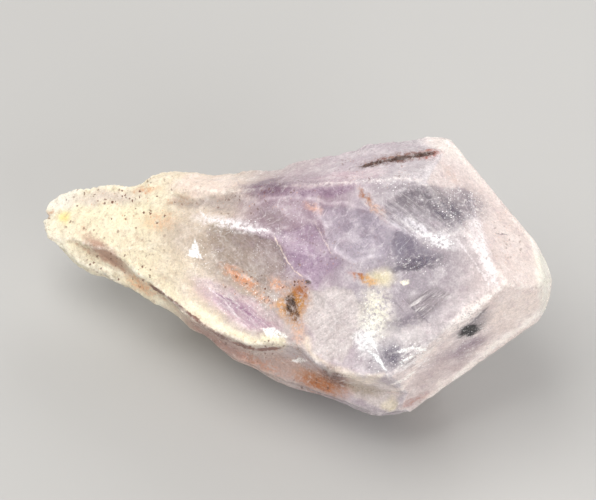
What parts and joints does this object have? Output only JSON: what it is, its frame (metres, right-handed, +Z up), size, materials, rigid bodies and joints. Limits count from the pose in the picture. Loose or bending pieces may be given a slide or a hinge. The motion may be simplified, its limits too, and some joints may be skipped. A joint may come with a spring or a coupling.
{
  "type": "amethyst crystal",
  "caption": "Loose natural quartz point, pale lilac and cream, with a tapered broken root, stained fractures and a worn six-sided tip. It lies on one flat facet.",
  "frame": {"origin": "on the resting plane, under the middle of the bounding box", "axes": "+X along the crystal from the broken root to the tip, +Y across it, away from the broad front side, +Z up from the facet it rests on"},
  "size_m": [0.0616, 0.0302, 0.0316],
  "materials": {
    "amethyst": "milky, pale lilac quartz, cream at the root, with glassy faces, rust stains and white veils"
  },
  "bodies": {
    "root": {"amethyst_crystal": "amethyst"}
  },
  "joints": []
}
